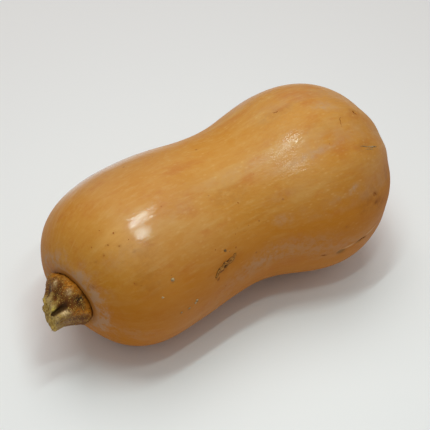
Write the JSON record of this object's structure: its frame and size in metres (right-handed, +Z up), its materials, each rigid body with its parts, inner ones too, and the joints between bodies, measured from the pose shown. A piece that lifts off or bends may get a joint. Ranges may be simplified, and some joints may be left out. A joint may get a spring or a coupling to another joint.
{
  "type": "butternut squash",
  "caption": "Whole butternut squash lying on its side: a solid tan fruit with a thick neck, a faintly ribbed bulb, and the dry ridged stump of its stem.",
  "frame": {"origin": "on the surface the squash lies on, under the middle of its bounding box", "axes": "+X along the fruit from the stem to the blossom end, +Z up, +Y to the side that the picture doesn't show"},
  "size_m": [0.2478, 0.1244, 0.1222],
  "materials": {
    "skin": "smooth waxy tan rind with pale flecks, faint lengthwise streaks and a soft gloss",
    "stem": "dry corky olive and brown, rough"
  },
  "bodies": {
    "root": {"fruit": "skin", "stem": "stem"}
  },
  "joints": []
}
